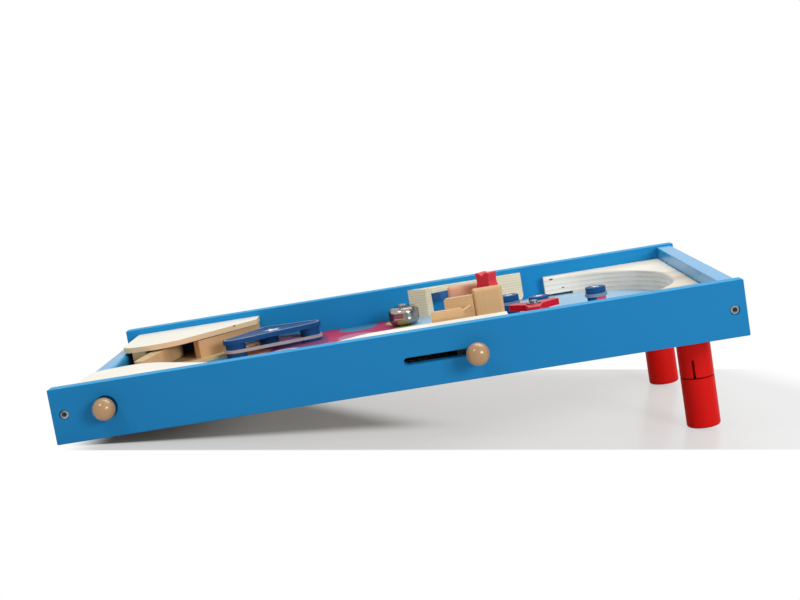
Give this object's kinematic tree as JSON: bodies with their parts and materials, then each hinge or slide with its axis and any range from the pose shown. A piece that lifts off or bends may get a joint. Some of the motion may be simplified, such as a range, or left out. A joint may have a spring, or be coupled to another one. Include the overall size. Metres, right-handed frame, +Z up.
{
  "type": "tabletop bagatelle",
  "caption": "Sloping wooden tabletop ball game: lacquered case on pull-off legs, push-button flippers, sprung ball launcher, turning targets, bell, bumpers and a curved arch.",
  "frame": {"origin": "middle of the overall box, on the ground", "axes": "+X from the low (player) end to the high end, +Y from the launcher side to the far side, +Z up; the case stands tilted on its legs"},
  "size_m": [0.7498, 0.4746, 0.1783],
  "materials": {
    "blue_lacquer": "high gloss blue lacquer",
    "printed_board": "satin plywood with a printed playfield",
    "bolt_steel": "bright plated steel",
    "hidden_steel": "plain steel",
    "red_lacquer": "high gloss red lacquer",
    "cream_lacquer": "satin cream lacquer",
    "beech": "satin clear lacquer",
    "plywood": "satin clear lacquer",
    "pine": "satin clear lacquer",
    "navy_lacquer": "satin blue lacquer",
    "scarlet_lacquer": "gloss red lacquer",
    "ball_wood": "gloss clear lacquer",
    "white_rubber": "translucent white rubber",
    "dark_rubber": "black rubber",
    "bell_chrome": "polished",
    "white_plastic": "satin",
    "dark_wood": "satin dark brown"
  },
  "bodies": {
    "table": {"side_rail_near": "blue_lacquer", "side_rail_far": "blue_lacquer", "end_rail_low": "blue_lacquer", "end_rail_high": "blue_lacquer", "play_board": "printed_board", "frame_bolts": "bolt_steel", "barrel_nuts": "hidden_steel", "leg_stubs": "red_lacquer", "leg_screws": "hidden_steel", "flipper_bases": "plywood", "flipper_walls": "beech", "support_blocks": "beech", "guide_blocks": "beech", "pivot_pins": "hidden_steel", "blade_spacers": "white_plastic", "flipper_cover_far": "cream_lacquer", "flipper_cover_near": "cream_lacquer", "return_elastic_far": "dark_rubber", "return_elastic_near": "dark_rubber", "launcher_cover": "cream_lacquer", "launcher_wall": "beech", "lane_guide": "beech", "launcher_elastic": "dark_rubber", "anchor_pegs": "hidden_steel", "sling_posts": "navy_lacquer", "sling_plate": "navy_lacquer", "sling_band": "white_rubber", "bell_dome": "bell_chrome", "bell_post": "hidden_steel", "bell_nut": "bell_chrome", "bumper_posts": "navy_lacquer", "bumper_rings": "white_rubber", "bumper_caps": "navy_lacquer", "spinner_post": "beech", "spinner_washer": "white_plastic", "spinner_screw": "hidden_steel", "fence_low": "pine", "fence_middle": "pine", "cheek_near": "pine", "cheek_far": "pine", "tower_peg": "pine", "figure_axle": "hidden_steel", "far_block": "pine", "far_wedge": "navy_lacquer", "arch": "pine"},
    "flipper_far": {"blade_far": "beech", "blade_hook_far": "hidden_steel"},
    "flipper_near": {"blade_near": "beech", "blade_hook_near": "hidden_steel"},
    "button_far": {"push_rod_far": "hidden_steel", "button_ball_far": "ball_wood"},
    "button_near": {"push_rod_near": "hidden_steel", "button_ball_near": "ball_wood"},
    "launcher": {"carriage": "dark_wood", "carriage_hook": "hidden_steel", "launcher_knob": "ball_wood"},
    "spinner": {"spinner_rotor": "scarlet_lacquer"},
    "horned_figure": {"figure": "scarlet_lacquer"},
    "pull_off_leg_far": {"leg_far": "red_lacquer"},
    "pull_off_leg_near": {"leg_near": "red_lacquer"}
  },
  "joints": [
    {"name": "flipper_far_pivot", "type": "hinge", "parent": "table", "child": "flipper_far", "pos_m": [-0.2989, 0.14525, 0.04386], "axis": [-0.158, 0, 0.9874], "range_deg": [0, 32], "stiffness_Nm_per_rad": 0.05, "springref_deg": -20.05, "deforming": ["return_elastic_far"]},
    {"name": "flipper_near_pivot", "type": "hinge", "parent": "table", "child": "flipper_near", "pos_m": [-0.2989, -0.13475, 0.04386], "axis": [0.158, 0, -0.9874], "range_deg": [0, 32], "stiffness_Nm_per_rad": 0.05, "springref_deg": -20.05, "deforming": ["return_elastic_near"]},
    {"name": "button_far_push", "type": "slide", "parent": "table", "child": "button_far", "axis": [0, -1, 0], "range_m": [0, 0.00719], "stiffness_N_per_m": 60, "springref_m": -0.003},
    {"name": "button_near_push", "type": "slide", "parent": "table", "child": "button_near", "axis": [0, 1, 0], "range_m": [0, 0.00719], "stiffness_N_per_m": 60, "springref_m": -0.003},
    {"name": "launcher_pull", "type": "slide", "parent": "table", "child": "launcher", "axis": [-0.9874, 0, -0.158], "range_m": [0, 0.073], "stiffness_N_per_m": 90, "springref_m": -0.02, "deforming": ["launcher_elastic"]},
    {"name": "spinner_turn", "type": "hinge", "parent": "table", "child": "spinner", "pos_m": [0.16143, -0.02475, 0.12462], "axis": [-0.158, 0, 0.9874], "continuous": true},
    {"name": "horned_figure_turn", "type": "hinge", "parent": "table", "child": "horned_figure", "pos_m": [0.10865, -0.04325, 0.1263], "axis": [-0.158, 0, 0.9874], "continuous": true},
    {"name": "leg_far_pull_off", "type": "slide", "parent": "table", "child": "pull_off_leg_far", "axis": [0.158, 0, -0.9874], "range_m": [0, 0.03]},
    {"name": "leg_near_pull_off", "type": "slide", "parent": "table", "child": "pull_off_leg_near", "axis": [0.158, 0, -0.9874], "range_m": [0, 0.03]}
  ],
  "couplings": [
    {"joint": "button_far_push", "follows": "flipper_far_pivot", "m_per_rad": 0.012832},
    {"joint": "button_near_push", "follows": "flipper_near_pivot", "m_per_rad": 0.012832}
  ]
}
